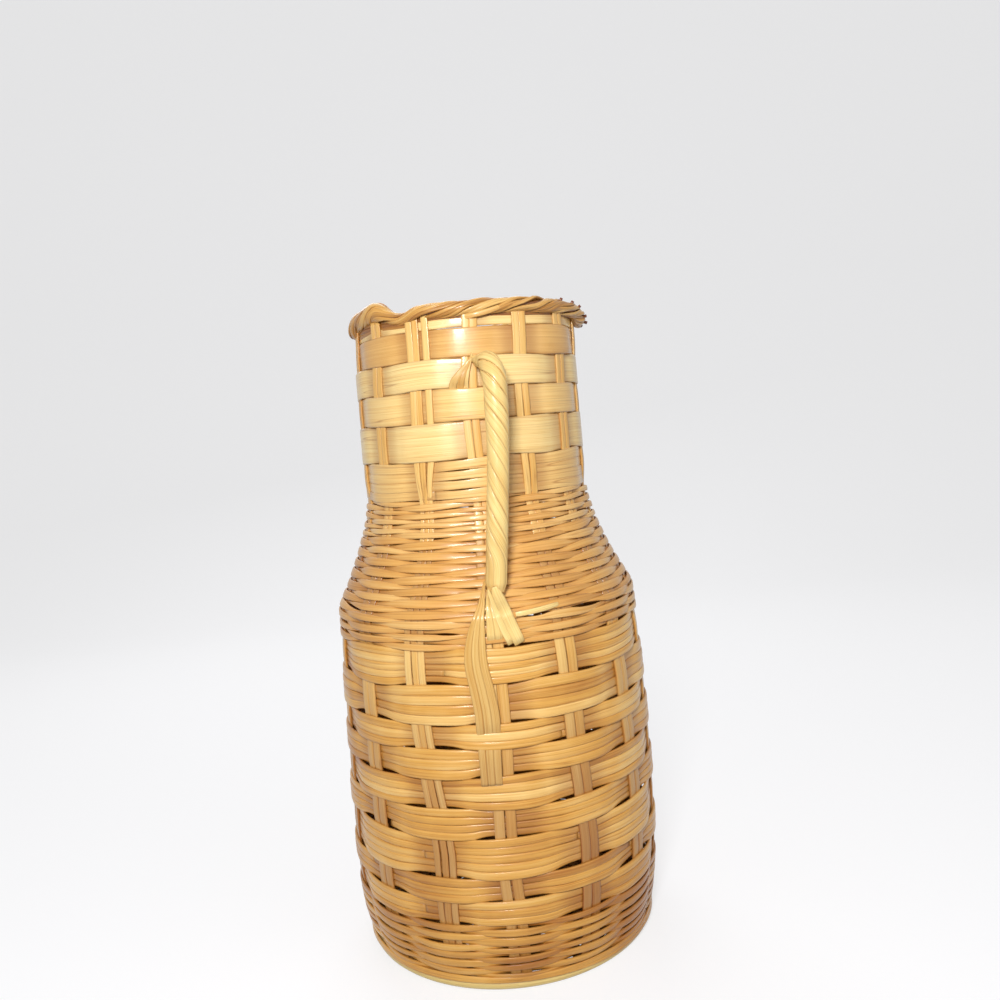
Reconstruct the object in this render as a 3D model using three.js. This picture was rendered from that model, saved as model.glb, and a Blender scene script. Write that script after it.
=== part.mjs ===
// A wicker umbrella basket, shaped like a tall jug. Reed is woven row by row round fourteen upright stakes,
// on a floor of crossing spokes and a round cane hoop. The rim is two strands twisted like a rope, which rises
// at one side into a small lip. One loop handle, a core wrapped in flat reed, stands off the neck.
// Millimetres, +Z up. The origin is on the floor under the middle, and the handle faces -Y.
import * as THREE from "three";

// Reeds, and the play that touching pieces keep.
const clearance = 0.35;
const stakeThickness = 2;
const weaverThickness = 2;
const bodyStakeWidth = 14;
const neckStakeWidth = 10;
const crossingPlay = 1.2;

// The wall: outside radii from the foot up, and how round each stretch between them is.
const footRadius = 110;
const bellyRadius = 120.4;
const shoulderRadius = 115.8;
const neckRadius = 86.5;
const mouthRadius = 85.1;
const footRoundness = 3.6;
const bodyRoundness = 1.5;
const shoulderRoundness = 1.5;

// Stakes: how many, and where the first one stands, a little to the right of the front.
const stakeCount = 14;
const firstStakeAngle = THREE.MathUtils.degToRad(1.5);

// Rows from the bottom up. Each was beaten down by hand, so the wide ones have heights of their own.
const footRowHeights = Array(6).fill(6.83);
const bodyRowHeights = [18, 16.6, 28.4, 19.5, 21.9, 19.5, 17.2, 26.7, 25.2];
const shoulderRowHeights = Array(11).fill(6.68);
const throatRowHeights = Array(3).fill(8.5);
const neckRowHeights = [26.9, 26.1, 22.4, 20.6, 20.7, 7.1];
const bellyRowCount = 9;
const shoulderEdgeRowCount = 18;

// The floor and the foot.
const hoopHeight = 6.35;
const hoopSetIn = 1.5;
const hoopSteps = 36;
const spokeWidth = 12;
const floorWeaveInside = 44;
const floorWeaveSetIn = 2.5;

// The rim and its lip.
const rimStrandRadius = 2.6;
const rimTwistRadius = 3.1;
const rimSetIn = 1.5;
const rimStepsPerTurn = 8;
const rimSides = 6;
const lipAngle = THREE.MathUtils.degToRad(-52);
const lipHalfWidth = THREE.MathUtils.degToRad(30);
const lipRise = 6;

// The handle.
const coreRadius = 5.5;
const coreSides = 10;
const coreSteps = 18;
const wrapSeat = 0.85;
const wrapThickness = 1.4;
const wrapStrands = 3;
const wrapLead = 48;
const wrapGap = 1.1;
const wrapStepsPerTurn = 14;
const bareRoot = 9;
const fingerRoom = 18.6;
const rootAcross = 3;
const gripTopAcross = 15;
const gripFootAcross = 4.3;

// The two flat tails that run down the wall from under the handle's foot, and how far down each reaches.
const tailThickness = 2;
const leftTailReach = 86;
const rightTailReach = 32;

const weaveOffset = stakeThickness / 2 + clearance + weaverThickness / 2;
const wallDepth = weaveOffset + weaverThickness / 2;
const spokeBottom = hoopHeight + clearance;
const wallBottom = spokeBottom + stakeThickness + clearance;

const rowHeights = [
  ...footRowHeights,
  ...bodyRowHeights,
  ...shoulderRowHeights,
  ...throatRowHeights,
  ...neckRowHeights,
];
const rowEdges = [wallBottom];
for (const height of rowHeights) {
  rowEdges.push(rowEdges.at(-1) + height);
}
const bellyHeight = rowEdges[bellyRowCount];
const shoulderHeight = rowEdges[shoulderEdgeRowCount];
const neckHeight = rowEdges.at(-1 - neckRowHeights.length);
const wallTop = rowEdges.at(-1);

// Outside radius of the wall at a height. It swells from the foot to the belly, draws in a little up to the
// shoulder, falls in steeply to the throat, and goes on up as an almost straight neck.
function wallRadius(height) {
  if (height < bellyHeight) {
    const below = 1 - height / bellyHeight;
    return bellyRadius - (bellyRadius - footRadius) * below ** footRoundness;
  }
  if (height < shoulderHeight) {
    const share = (height - bellyHeight) / (shoulderHeight - bellyHeight);
    return bellyRadius - (bellyRadius - shoulderRadius) * share ** bodyRoundness;
  }
  if (height < neckHeight) {
    const left = (neckHeight - height) / (neckHeight - shoulderHeight);
    return neckRadius + (shoulderRadius - neckRadius) * left ** shoulderRoundness;
  }
  return THREE.MathUtils.mapLinear(height, neckHeight, wallTop, neckRadius, mouthRadius);
}

// The height on the shoulder where the wall has a given outside radius.
function shoulderHeightAt(radius) {
  const left = ((radius - neckRadius) / (shoulderRadius - neckRadius)) ** (1 / shoulderRoundness);
  return neckHeight - left * (neckHeight - shoulderHeight);
}

// A line across the wall in its upright section: a point on the middle of the stakes, and the way out. The
// lowest and the highest line lie level, so that the wall stands flat on the spokes and carries the rim.
function wallLine(edge) {
  const height = rowEdges[edge];
  const below = rowEdges[edge - 1] ?? height;
  const above = rowEdges[edge + 1] ?? height;
  const level = above === height || below === height;
  const lean = level ? 0 : wallRadius(above) - wallRadius(below);
  const slope = new THREE.Vector2(lean, above - below).normalize();
  const normal = new THREE.Vector2(slope.y, -slope.x);
  const middle = new THREE.Vector2(wallRadius(height), height).addScaledVector(normal, -wallDepth);
  return { middle, normal };
}
const wallLines = rowEdges.map((height, edge) => wallLine(edge));

function stakeWidthAt(line) {
  const share = (line.middle.x + wallDepth - neckRadius) / (shoulderRadius - neckRadius);
  const kept = THREE.MathUtils.clamp(share, 0, 1);
  return THREE.MathUtils.lerp(neckStakeWidth, bodyStakeWidth, kept);
}

// A point given at one stake: how far across it, how far out from the axis, and how high.
function atStake(stake, across, out, height) {
  const angle = firstStakeAngle + (stake * 2 * Math.PI) / stakeCount;
  const x = out * Math.sin(angle) + across * Math.cos(angle);
  const y = across * Math.sin(angle) - out * Math.cos(angle);
  return new THREE.Vector3(x, y, height);
}

function onLine(stake, across, line, depth) {
  const point = line.middle.clone().addScaledVector(line.normal, depth);
  return atStake(stake, across, point.x, point.y);
}

// A closed skin over a row of rings that have the same number of points each. An open row gets end faces.
function skin(rings, closed) {
  const sides = rings[0].length;
  const spans = closed ? rings.length : rings.length - 1;
  const index = [];
  for (let span = 0; span < spans; span += 1) {
    const here = span * sides;
    const next = ((span + 1) % rings.length) * sides;
    for (let side = 0; side < sides; side += 1) {
      const turn = (side + 1) % sides;
      index.push(here + side, here + turn, next + turn);
      index.push(here + side, next + turn, next + side);
    }
  }
  const last = (rings.length - 1) * sides;
  for (let side = 1; side < sides - 1 && !closed; side += 1) {
    index.push(0, side + 1, side);
    index.push(last, last + side, last + side + 1);
  }
  const points = rings.flat();
  if (signedVolume(points, index) < 0) {
    index.reverse();
  }
  const geometry = new THREE.BufferGeometry().setFromPoints(points);
  geometry.setIndex(index);
  geometry.computeVertexNormals();
  return geometry;
}

function signedVolume(points, index) {
  let volume = 0;
  for (let i = 0; i < index.length; i += 3) {
    const [a, b, c] = [points[index[i]], points[index[i + 1]], points[index[i + 2]]];
    volume += a.dot(b.clone().cross(c)) / 6;
  }
  return volume;
}

// A band woven between two lines. It lies flat outside one stake, crosses over, and lies flat inside the next.
function wovenBand(low, high, crossingWidth, overEven) {
  const rings = [];
  for (let stake = 0; stake < stakeCount; stake += 1) {
    const over = (stake % 2 === 0) === overEven;
    const offset = over ? weaveOffset : -weaveOffset;
    const inner = offset - weaverThickness / 2;
    const outer = offset + weaverThickness / 2;
    const reach = crossingWidth / 2 + crossingPlay;
    for (const across of [-reach, reach]) {
      rings.push([
        onLine(stake, across, low, inner),
        onLine(stake, across, low, outer),
        onLine(stake, across, high, outer),
        onLine(stake, across, high, inner),
      ]);
    }
  }
  return skin(rings, true);
}

// One row of the wall, drawn in by half the play from the rows under and over it.
function wallRow(row, overEven) {
  const low = wallLines[row];
  const high = wallLines[row + 1];
  const along = high.middle.clone().sub(low.middle).setLength(clearance / 2);
  const bottom = { middle: low.middle.clone().add(along), normal: low.normal };
  const top = { middle: high.middle.clone().sub(along), normal: high.normal };
  return wovenBand(bottom, top, Math.max(stakeWidthAt(low), stakeWidthAt(high)), overEven);
}

// One stake: a flat reed that follows the wall from the spokes to the rim, narrower in the neck.
function stakeStrip(stake) {
  const half = stakeThickness / 2;
  const rings = wallLines.map((line) => {
    const reach = stakeWidthAt(line) / 2;
    return [
      onLine(stake, -reach, line, -half),
      onLine(stake, reach, line, -half),
      onLine(stake, reach, line, half),
      onLine(stake, -reach, line, half),
    ];
  });
  return skin(rings, false);
}

// The foot: a cane hoop under the stakes, whose six-sided section has a flat underside to stand on.
const hoopRadius = wallLines[0].middle.x - hoopSetIn;
const hoopCorner = hoopHeight / Math.sqrt(3);

function footHoop() {
  const profile = [];
  for (let side = 0; side <= 6; side += 1) {
    const angle = (side * Math.PI) / 3;
    const out = hoopRadius + hoopCorner * Math.cos(angle);
    profile.push(new THREE.Vector2(out, hoopHeight / 2 + hoopCorner * Math.sin(angle)));
  }
  return new THREE.LatheGeometry(profile, hoopSteps).rotateX(Math.PI / 2);
}

// The spokes: seven flat reeds that cross in the middle of the floor, one arm under each stake.
function crossingSpokes() {
  const reach = wallLines[0].middle.x + stakeThickness / 2;
  const notch = spokeWidth / 2 / Math.sin(Math.PI / stakeCount);
  const outline = [];
  for (let stake = 0; stake < stakeCount; stake += 1) {
    const between = atStake(stake - 0.5, 0, notch, 0);
    outline.push(between, atStake(stake, -spokeWidth / 2, reach, 0), atStake(stake, spokeWidth / 2, reach, 0));
  }
  const shape = new THREE.Shape(outline.map((point) => new THREE.Vector2(point.x, point.y)));
  const geometry = new THREE.ExtrudeGeometry(shape, { depth: stakeThickness, bevelEnabled: false });
  return geometry.translate(0, 0, spokeBottom);
}

function floorWeave() {
  const height = spokeBottom + stakeThickness / 2;
  const normal = new THREE.Vector2(0, 1);
  const inside = { middle: new THREE.Vector2(floorWeaveInside, height), normal };
  const reach = hoopRadius - hoopCorner - floorWeaveSetIn;
  const outside = { middle: new THREE.Vector2(reach, height), normal };
  return wovenBand(inside, outside, spokeWidth, true);
}

// The height of the rim's middle at an angle. It lies on the wall and rises to the lip.
const rimRadius = mouthRadius - rimSetIn;
function rimHeightAt(angle) {
  const away = Math.atan2(Math.sin(angle - lipAngle), Math.cos(angle - lipAngle)) / lipHalfWidth;
  const lip = Math.abs(away) < 1 ? Math.cos((away * Math.PI) / 2) ** 2 : 0;
  return wallTop + clearance + rimTwistRadius + rimStrandRadius + lipRise * lip;
}

// One of the two rim strands: a closed strand that winds round the middle of the rim, once for two stakes.
function rimStrand(strand) {
  const turns = stakeCount / 2;
  const steps = Math.round(turns * rimStepsPerTurn);
  const path = [];
  for (let step = 0; step < steps; step += 1) {
    const angle = (step * 2 * Math.PI) / steps;
    const twist = turns * angle + strand * Math.PI;
    const out = rimRadius + rimTwistRadius * Math.cos(twist);
    const rise = rimHeightAt(angle) + rimTwistRadius * Math.sin(twist);
    path.push(new THREE.Vector3(out * Math.sin(angle), -out * Math.cos(angle), rise));
  }
  const up = new THREE.Vector3(0, 0, 1);
  const rings = path.map((point, step) => {
    const after = path[(step + 1) % steps];
    const before = path[(step + steps - 1) % steps];
    const along = after.clone().sub(before).normalize();
    const across = along.clone().cross(up).normalize();
    return roundSection(point, across, across.clone().cross(along), rimStrandRadius, rimSides);
  });
  return skin(rings, true);
}

function roundSection(centre, across, upward, radius, sides) {
  const ring = [];
  for (let side = 0; side < sides; side += 1) {
    const angle = (side * 2 * Math.PI) / sides;
    const point = centre.clone().addScaledVector(across, radius * Math.cos(angle));
    ring.push(point.addScaledVector(upward, radius * Math.sin(angle)));
  }
  return ring;
}

// The handle's middle line, from its root on the front stake over the bend and down to the shoulder.
const handleRadius = coreRadius + wrapSeat + wrapThickness;
const gripOut = neckRadius + fingerRoom + handleRadius;
const rootOut = wallLines.at(-3).middle.x + stakeThickness / 2 + clearance;
const rootHeight = rowEdges.at(-3) - coreRadius - 2 * clearance;
const gripFoot = shoulderHeightAt(gripOut - coreRadius - clearance);
const gripHeight = rootHeight - gripFoot;

function handlePoint(across, out, shareUp) {
  return atStake(0, across, out, gripFoot + shareUp * gripHeight);
}
const handleLine = new THREE.CatmullRomCurve3([
  handlePoint(rootAcross, rootOut, 1),
  handlePoint(rootAcross, rootOut + bareRoot / 3, 1),
  handlePoint(rootAcross * 1.4, rootOut + bareRoot, 1.015),
  handlePoint(gripTopAcross * 0.61, rootOut * 0.3 + gripOut * 0.7, 1.02),
  handlePoint(gripTopAcross * 0.94, gripOut * 0.99, 0.94),
  handlePoint(gripTopAcross, gripOut, 0.82),
  handlePoint(gripTopAcross * 0.9, gripOut, 0.61),
  handlePoint(gripTopAcross * 0.69, gripOut, 0.385),
  handlePoint((gripTopAcross + gripFootAcross) * 0.35, gripOut, 0.147),
  handlePoint(gripFootAcross, gripOut, 0),
]);
const handleLength = handleLine.getLength();

// A point at a distance along the handle's line, an angle round it and a distance from it.
function roundHandle(along, angle, radius) {
  const share = THREE.MathUtils.clamp(along / handleLength, 0, 1);
  const centre = handleLine.getPointAt(share);
  const tangent = handleLine.getTangentAt(share);
  const side = atStake(0, 1, 0, 0);
  const across = side.addScaledVector(tangent, -side.dot(tangent)).normalize();
  const front = across.clone().cross(tangent);
  centre.addScaledVector(across, radius * Math.cos(angle));
  return centre.addScaledVector(front, radius * Math.sin(angle));
}

function handleCore() {
  const rings = [];
  for (let step = 0; step <= coreSteps; step += 1) {
    const ring = [];
    for (let side = 0; side < coreSides; side += 1) {
      const angle = (side * 2 * Math.PI) / coreSides;
      ring.push(roundHandle((step * handleLength) / coreSteps, angle, coreRadius));
    }
    rings.push(ring);
  }
  return skin(rings, false);
}

// One strand of the wrapping: an unbroken flat reed that winds down the core, six points to a section.
const wrapInner = coreRadius + wrapSeat;
const wrapMiddle = wrapInner + wrapThickness / 2;
const wrapSlope = Math.atan2(2 * Math.PI * wrapMiddle, wrapLead);
const wrapWidth = (wrapLead / wrapStrands) * Math.sin(wrapSlope) - wrapGap;
const wrapStart = bareRoot + wrapWidth / 2;
const wrapFoot = shoulderHeightAt(gripOut - handleRadius - clearance);
const wrapEnd = handleLength - (wrapFoot - gripFoot) - (wrapWidth / 2) * Math.sin(wrapSlope);

function wrapRings(strand) {
  const turns = (wrapEnd - wrapStart) / wrapLead;
  const steps = Math.round(turns * wrapStepsPerTurn);
  const rings = [];
  for (let step = 0; step <= steps; step += 1) {
    const along = wrapStart + (step / steps) * (wrapEnd - wrapStart);
    const angle = (2 * Math.PI * (along - wrapStart)) / wrapLead + (2 * Math.PI * strand) / wrapStrands;
    const place = (across, radius) => {
      const shift = across * wrapWidth;
      const turned = (shift * Math.cos(wrapSlope)) / wrapMiddle;
      return roundHandle(along - shift * Math.sin(wrapSlope), angle + turned, radius);
    };
    const outer = wrapInner + wrapThickness;
    rings.push([
      place(-0.5, wrapInner),
      place(-0.5, outer),
      place(0, outer),
      place(0.5, outer),
      place(0.5, wrapInner),
      place(0, wrapInner),
    ]);
  }
  return rings;
}

// Least distance between neighbouring edges of the wrapping, measured on the points of its strands.
function leastWrapGap(strands) {
  let least = Infinity;
  strands.forEach((rings, strand) => {
    const others = strands[(strand + 1) % strands.length];
    for (const ring of rings) {
      for (const other of others) {
        for (const [mine, theirs] of [[0, 4], [1, 3], [4, 0], [3, 1]]) {
          least = Math.min(least, ring[mine].distanceTo(other[theirs]));
        }
      }
    }
  });
  return least;
}

// A flat tail that lies on the wall and starts just under the handle's foot. Each of its points says how far
// across from the foot it is, at which share of the tail's reach, and how wide the tail is there. Where a tail
// runs over the shoulder's edge it has one point more, right at the edge, so that it bends with the wall.
function wallTail(reach, points) {
  const half = tailThickness / 2;
  const top = gripFoot - tailThickness;
  const edge = (top - shoulderHeight) / reach;
  const places = points.map(([fromFoot, share, width]) => new THREE.Vector3(fromFoot, share, width));
  const next = places.findIndex((place) => place.y > edge);
  if (next > 0) {
    const before = places[next - 1];
    const after = places[next];
    places.splice(next, 0, before.clone().lerp(after, (edge - before.y) / (after.y - before.y)));
  }
  const rings = places.map(({ x: fromFoot, y: share, z: width }) => {
    const across = gripFootAcross + fromFoot;
    const height = top - share * reach;
    const nearby = 2;
    const rise = new THREE.Vector2(wallRadius(height + nearby) - wallRadius(height - nearby), 2 * nearby);
    const normal = new THREE.Vector2(rise.y, -rise.x).normalize();
    const middle = new THREE.Vector2(wallRadius(height), height);
    middle.addScaledVector(normal, clearance + half);
    const line = { middle, normal };
    return [
      onLine(0, across - width / 2, line, -half),
      onLine(0, across + width / 2, line, -half),
      onLine(0, across + width / 2, line, half),
      onLine(0, across - width / 2, line, half),
    ];
  });
  return skin(rings, false);
}

const leftTail = wallTail(leftTailReach, [
  [-6.8, 0, 7.5],
  [-9.8, 0.085, 9.5],
  [-16, 0.3, 14],
  [-17.6, 0.48, 15.5],
  [-14.9, 0.79, 16],
  [-10.7, 1, 16],
]);
const rightTail = wallTail(rightTailReach, [
  [1.2, 0, 7.5],
  [3.5, 0.23, 9],
  [9.1, 1, 14],
]);

const reed = (color) => new THREE.MeshStandardMaterial({ color, roughness: 0.45, metalness: 0 });
const palette = {
  foot: 0xcf9c4e,
  body: 0xd8a558,
  shoulder: 0xcb9648,
  throat: 0xd3a458,
  neck: 0xe6c478,
  stake: 0xdcb468,
  rim: 0xc7974a,
  hoop: 0xe3cb86,
  floor: 0xc39a58,
  handle: 0xe2bd70,
};

const basket = new THREE.Group();
function addPiece(name, geometry, color) {
  const piece = new THREE.Mesh(geometry, reed(color));
  piece.name = name;
  basket.add(piece);
}

// The rows pass over even and odd stakes in turn. The neck starts one stake along from the throat.
const bands = [
  { name: "foot_row", rows: footRowHeights, color: palette.foot, startsEven: true },
  { name: "body_row", rows: bodyRowHeights, color: palette.body, startsEven: true },
  { name: "shoulder_row", rows: shoulderRowHeights, color: palette.shoulder, startsEven: false },
  { name: "throat_row", rows: throatRowHeights, color: palette.throat, startsEven: true },
  { name: "neck_row", rows: neckRowHeights, color: palette.neck, startsEven: true },
];
let nextRow = 0;
for (const band of bands) {
  band.rows.forEach((height, place) => {
    const overEven = (place % 2 === 0) === band.startsEven;
    addPiece(`${band.name}_${place + 1}`, wallRow(nextRow, overEven), band.color);
    nextRow += 1;
  });
}
for (let stake = 0; stake < stakeCount; stake += 1) {
  addPiece(`stake_${String(stake + 1).padStart(2, "0")}`, stakeStrip(stake), palette.stake);
}
addPiece("foot_hoop", footHoop(), palette.hoop);
addPiece("base_spokes", crossingSpokes(), palette.floor);
addPiece("base_weave", floorWeave(), palette.floor);
addPiece("rim_strand_1", rimStrand(0), palette.rim);
addPiece("rim_strand_2", rimStrand(1), palette.rim);
addPiece("handle_core", handleCore(), palette.handle);
const wrapping = Array.from({ length: wrapStrands }, (unused, strand) => wrapRings(strand));
wrapping.forEach((rings, strand) => {
  addPiece(`handle_strand_${strand + 1}`, skin(rings, false), palette.handle);
});
console.log(`least gap in the handle's wrapping: ${leastWrapGap(wrapping).toFixed(2)} mm`);
addPiece("handle_tail_left", leftTail, palette.handle);
addPiece("handle_tail_right", rightTail, palette.handle);

export default basket;
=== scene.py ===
import bpy
import numpy as np
from mathutils import Matrix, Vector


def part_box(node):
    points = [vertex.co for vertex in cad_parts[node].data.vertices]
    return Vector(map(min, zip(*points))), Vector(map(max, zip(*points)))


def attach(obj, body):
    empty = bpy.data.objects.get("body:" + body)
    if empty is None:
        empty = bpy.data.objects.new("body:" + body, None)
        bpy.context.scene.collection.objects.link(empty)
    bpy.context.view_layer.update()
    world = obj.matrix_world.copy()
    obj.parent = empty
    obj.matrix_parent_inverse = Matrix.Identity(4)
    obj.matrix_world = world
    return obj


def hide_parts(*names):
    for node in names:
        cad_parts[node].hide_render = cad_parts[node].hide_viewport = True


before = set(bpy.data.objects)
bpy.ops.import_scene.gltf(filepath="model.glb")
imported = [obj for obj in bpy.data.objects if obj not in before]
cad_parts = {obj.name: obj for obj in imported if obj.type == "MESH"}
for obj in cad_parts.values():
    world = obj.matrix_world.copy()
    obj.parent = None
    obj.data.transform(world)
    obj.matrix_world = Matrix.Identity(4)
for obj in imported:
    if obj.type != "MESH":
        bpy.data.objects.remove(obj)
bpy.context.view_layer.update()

MM = 0.001
rng = np.random.default_rng(20)

# The wall as it was woven: outside radii from the foot up, and how round each stretch between them is. The
# middle of the stakes lies inside the wall's outside by its depth.
FOOT_RADIUS = 110.0
BELLY_RADIUS = 120.4
SHOULDER_RADIUS = 115.8
NECK_RADIUS = 86.5
MOUTH_RADIUS = 85.1
FOOT_ROUNDNESS = 3.6
BODY_ROUNDNESS = 1.5
SHOULDER_ROUNDNESS = 1.5
WALL_DEPTH = 3.35
WALL_BOTTOM = 9.05

# The stakes stand evenly all round. The first is in front, and the last, left of it, is wider in the neck.
STAKES = 14
FIRST_STAKE = np.radians(1.5)
WIDE_STAKE = 13
BODY_STAKE_WIDTH = 15.5
NECK_STAKE_WIDTH = 10.8


def uneven(total, count):
    """The heights of thin courses, which share a band's height with up to 14% more or less for each."""
    sizes = rng.uniform(0.86, 1.14, count)
    return list(total * sizes / sizes.sum())


# Courses from the bottom up: heights, how many reeds lie side by side in each, and tones. In the foot,
# shoulder and throat a course is one thin reed, and about two of them stand for one solid row.
FOOT_ROWS = 6
FOOT_ROW = 6.83
SHOULDER_ROWS = 11
SHOULDER_ROW = 6.68
THROAT_ROWS = 3
THROAT_ROW = 8.5
FOOT_COURSES = uneven(FOOT_ROWS * FOOT_ROW, 12)
BODY_COURSES = [18.0, 16.6, 28.4, 19.5, 21.9, 19.5, 17.2, 26.7, 25.2]
SHOULDER_COURSES = uneven(SHOULDER_ROWS * SHOULDER_ROW, 20)
THROAT_COURSES = uneven(THROAT_ROWS * THROAT_ROW, 8)
NECK_COURSES = [26.9, 26.1, 22.4, 20.6, 20.7, 7.1]
BODY_REEDS = [3, 3, 5, 4, 4, 3, 3, 4, 5]
NECK_REEDS = [4, 1, 1, 1, 1]
FOOT_TONE = 0.78
BODY_TONES = [0.55, 0.52, 0.5, 0.47, 0.45, 0.42, 0.38, 0.35, 0.35]
SHOULDER_TONE = 0.47
THROAT_TONE = 0.3
NECK_TONES = [0.55, 0.12, 0.3, 0.1, 0.8]
TOP_STRIP_TONE = 0.05

# The heights between the courses. The body is widest above its third row, and the shoulder turns in above
# its third row.
HEIGHTS = FOOT_COURSES + BODY_COURSES + SHOULDER_COURSES + THROAT_COURSES + NECK_COURSES
EDGES = WALL_BOTTOM + np.concatenate([[0.0], np.cumsum(HEIGHTS)])
BODY_START = len(FOOT_COURSES)
SHOULDER_START = BODY_START + len(BODY_COURSES)
THROAT_START = SHOULDER_START + len(SHOULDER_COURSES)
NECK_START = THROAT_START + len(THROAT_COURSES)
BELLY_HEIGHT = EDGES[BODY_START + 3]
SHOULDER_HEIGHT = EDGES[SHOULDER_START] + 3 * SHOULDER_ROW
NECK_HEIGHT = EDGES[NECK_START]
WALL_TOP = EDGES[-1]

# How far the wall stands off its axis towards +X, and where: a little in the body, and again at the mouth.
BODY_SWAY = 1.4
BODY_SWAY_START = 40
BODY_SWAY_LENGTH = 260
MOUTH_SWAY = 1.6
MOUTH_SWAY_START = 415
MOUTH_SWAY_LENGTH = 50

# The rim: where its middle runs, and how its form changes on the way round. Each place has its angle in
# degrees, and there the shift outwards, the rise and the radius of the twist. It swells into a lip at the
# left, dips to a notch beside it, and sags outwards at the right.
ROPE_TURNS = 6
ROPE_STRANDS = 3
REEDS_PER_STRAND = 4
ROPE_RADIUS = 82.6
ROPE_HEIGHT = 472.2
TWIST_RADIUS = 4.2
RIM_PLACES = [
    (-120, 0, 0, TWIST_RADIUS),
    (-96, 0, -1, 4.4),
    (-82, 0, -3, 5.2),
    (-66, -0.5, 2.6, 5.4),
    (-49, -1, 4.6, 6.0),
    (-33, -1, -3.2, 3.0),
    (-20, 0, 0, TWIST_RADIUS),
    (50, 1, 0, TWIST_RADIUS),
    (70, 3.5, -2, TWIST_RADIUS),
    (86, 5.5, -6.5, 4.4),
    (104, 3, -4, TWIST_RADIUS),
    (125, 0, 0, TWIST_RADIUS),
]

# How each kind of line wanders: its first seed, so that no two lines wander alike, how far in millimetres, or
# as a share of a course's draw, or in radians of the rope's twist, and in how many waves. Where the distance
# is 1, the kind of reed gives it.
WANDERS = {
    "skirt": (60, 0.3, 9),
    "course edge": (100, 1.0, 9),
    "course draw": (300, 0.7, 9),
    "course reed": (1000, 1.0, 12),
    "course depth": (6000, 0.2, 10),
    "stake": (9000, 0.8, 6),
    "stake reed": (9100, 0.3, 8),
    "stake width": (9600, 0.2, 5),
    "stake depth": (10000, 0.1, 6),
    "rim": (740, 0.5, 7),
    "rim filling": (463, 0.5, 8),
    "rope strand": (700, 0.35, 9),
    "rope reed": (720, 0.6, 18),
    "rope twist": (770, 0.2, 18),
}

# How many points lie along each kind of reed.
STAKE_POINTS = 190
ROPE_POINTS = 480
CORE_POINTS = 240
FILLING_POINTS = 160
STUB_POINTS = 6
HOOP_POINTS = 240
SPOKE_POINTS = 81
BINDING_POINTS = 260
HANDLE_CORE_POINTS = 80
FRONT_POINTS = 60


def wall_radius(height):
    """Outside radius at a height: foot to belly, belly to shoulder, shoulder to throat, and then the neck."""
    below = np.clip(1 - height / BELLY_HEIGHT, 0, 1)
    foot = BELLY_RADIUS - (BELLY_RADIUS - FOOT_RADIUS) * below**FOOT_ROUNDNESS
    share = np.clip((height - BELLY_HEIGHT) / (SHOULDER_HEIGHT - BELLY_HEIGHT), 0, 1)
    body = BELLY_RADIUS - (BELLY_RADIUS - SHOULDER_RADIUS) * share**BODY_ROUNDNESS
    left = np.clip((NECK_HEIGHT - height) / (NECK_HEIGHT - SHOULDER_HEIGHT), 0, 1)
    shoulder = NECK_RADIUS + (SHOULDER_RADIUS - NECK_RADIUS) * left**SHOULDER_ROUNDNESS
    up = np.clip((height - NECK_HEIGHT) / (WALL_TOP - NECK_HEIGHT), 0, 1)
    neck = NECK_RADIUS + (MOUTH_RADIUS - NECK_RADIUS) * up
    return np.select([height < BELLY_HEIGHT, height < SHOULDER_HEIGHT, height < NECK_HEIGHT],
                     [foot, body, shoulder], neck)


def smooth(share):
    """Rises from 0 to 1 with level ends: 3 s squared less 2 s cubed."""
    share = np.clip(share, 0, 1)
    return share * share * (3 - 2 * share)


def rim_form(angle):
    """Shift outwards, rise and twist radius of the rim at an angle: level-ended steps between its places."""
    degrees = (np.degrees(angle) + 180) % 360 - 180
    places = np.array(RIM_PLACES)
    after = np.clip(np.searchsorted(places[:, 0], degrees), 1, len(places) - 1)
    share = smooth((degrees - places[after - 1, 0]) / (places[after, 0] - places[after - 1, 0]))
    return (places[after - 1, 1:] + (places[after, 1:] - places[after - 1, 1:]) * share[:, None]).T


def radial(angle):
    """Unit vectors away from the axis. Angle 0 faces the front, -Y, and angles grow towards +X."""
    return np.stack([np.sin(angle), -np.cos(angle), np.zeros_like(angle)], -1)


UP = np.array([0.0, 0.0, 1.0])


def on_wall(angle, height, depth):
    """Points at a depth outside the middle of the stakes, and the wall's outward direction there, which is
    square to the wall's slope. The wall sways off its axis by half a sine over the body, and at the mouth."""
    angle, height, depth = np.broadcast_arrays(angle, height, depth)
    nearby = 4.0
    lean = wall_radius(height + nearby) - wall_radius(height - nearby)
    size = np.hypot(lean, 2 * nearby)
    out_radius = 2 * nearby / size
    out_height = -lean / size
    shift = depth - WALL_DEPTH
    away = radial(angle)
    points = away * (wall_radius(height) + out_radius * shift)[..., None]
    points = points + UP * (height + out_height * shift)[..., None]
    sway = BODY_SWAY * np.sin(np.pi * np.clip((height - BODY_SWAY_START) / BODY_SWAY_LENGTH, 0, 1))
    points[..., 0] += sway + MOUTH_SWAY * smooth((height - MOUTH_SWAY_START) / MOUTH_SWAY_LENGTH)
    return points, away * out_radius[..., None] + UP * out_height[..., None]


def unit(vectors):
    """Vectors brought to length 1."""
    return vectors / np.linalg.norm(vectors, axis=-1, keepdims=True)


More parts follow.
